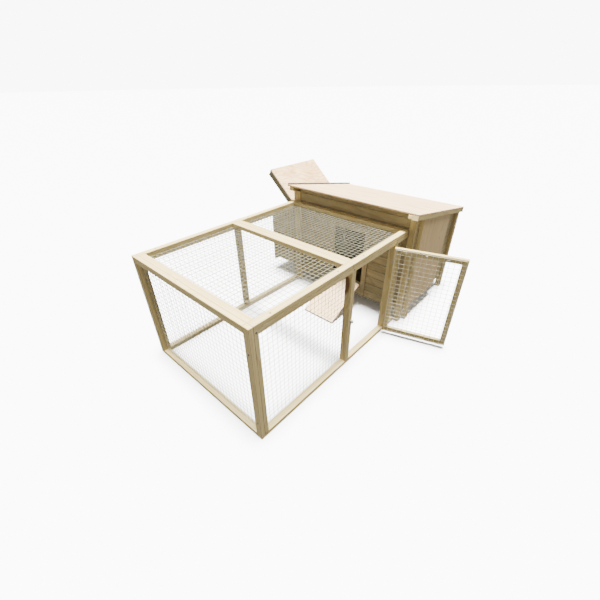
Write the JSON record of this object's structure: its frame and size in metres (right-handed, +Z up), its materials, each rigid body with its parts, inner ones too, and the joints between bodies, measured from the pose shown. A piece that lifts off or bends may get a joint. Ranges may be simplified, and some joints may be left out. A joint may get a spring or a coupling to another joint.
{
  "type": "rabbit hutch",
  "caption": "Timber rabbit hutch: a low wire-covered run with a hinged side door, joined to a raised house with a sloping roof, a fold-up ramp and a nest box with a lifting lid",
  "frame": {"origin": "on the ground, at the centre of the underside of the run's front bottom rail", "axes": "+Z up, +Y from the front of the run towards the house, +X towards the side with the run door"},
  "size_m": [1.4168, 1.795, 0.7665],
  "materials": {
    "timber": "planed softwood, bare",
    "siding": "tongued softwood boards, bare",
    "roofing": "planed softwood sheet, pale",
    "wire_mesh": "galvanised",
    "zinc": "zinc plated"
  },
  "bodies": {
    "hutch": {"front_left_stile": "timber", "front_right_stile": "timber", "front_top_rail": "timber", "front_bottom_rail": "timber", "left_front_stile": "timber", "left_middle_post": "timber", "left_top_rail": "timber", "left_bottom_rail": "timber", "right_front_stile": "timber", "right_middle_post": "timber", "right_hinge_post": "timber", "right_top_rail": "timber", "right_bottom_rail": "timber", "cover_front_left_rail": "timber", "cover_front_right_rail": "timber", "cover_front_near_rail": "timber", "cover_front_far_rail": "timber", "cover_rear_left_rail": "timber", "cover_rear_right_rail": "timber", "cover_rear_near_rail": "timber", "cover_rear_far_rail": "timber", "house_front_left_post": "timber", "house_front_right_post": "timber", "house_back_left_post": "timber", "house_back_right_post": "timber", "house_side_panel": "timber", "roof_left_batten": "timber", "roof_right_batten": "timber", "pop_hole_trim": "timber", "house_front_wall": "siding", "house_back_wall": "siding", "house_left_wall": "siding", "house_right_wall": "siding", "house_floor": "siding", "nest_front_panel": "siding", "nest_back_panel": "siding", "nest_outer_wall": "siding", "nest_floor": "siding", "roof_panel": "roofing", "front_mesh": "wire_mesh", "left_mesh": "wire_mesh", "right_front_mesh": "wire_mesh", "right_rear_mesh": "wire_mesh", "cover_mesh": "wire_mesh", "hinge_lower_post_leaf": "zinc", "hinge_upper_post_leaf": "zinc", "bolt_keeper": "zinc", "ramp_wall_leaf": "zinc", "lid_wall_leaf": "zinc"},
    "run_door": {"door_hinge_stile": "timber", "door_latch_stile": "timber", "door_top_rail": "timber", "door_bottom_rail": "timber", "door_mesh": "wire_mesh", "hinge_lower_door_leaf": "zinc", "hinge_upper_door_leaf": "zinc", "bolt_plate": "zinc"},
    "bolt": {"bolt_rod": "zinc"},
    "nest_lid": {"nest_lid": "roofing"},
    "ramp": {"ramp": "timber"}
  },
  "joints": [
    {"name": "run_door_hinge", "type": "hinge", "parent": "hutch", "child": "run_door", "pos_m": [0.4225, 0.9665, 0.28], "axis": [0, 0, 1], "range_deg": [-107, 38]},
    {"name": "bolt_slide", "type": "slide", "parent": "run_door", "child": "bolt", "axis": [0.9563, 0.2924, 0], "range_m": [0, 0.0085]},
    {"name": "nest_lid_hinge", "type": "hinge", "parent": "hutch", "child": "nest_lid", "pos_m": [-0.4225, 1.331, 0.583], "axis": [0, 1, 0], "range_deg": [-70, 13]},
    {"name": "ramp_hinge", "type": "hinge", "parent": "hutch", "child": "ramp", "pos_m": [0.04, 1.1015, 0.1615], "axis": [-1, 0, 0], "range_deg": [0, 117]}
  ]
}
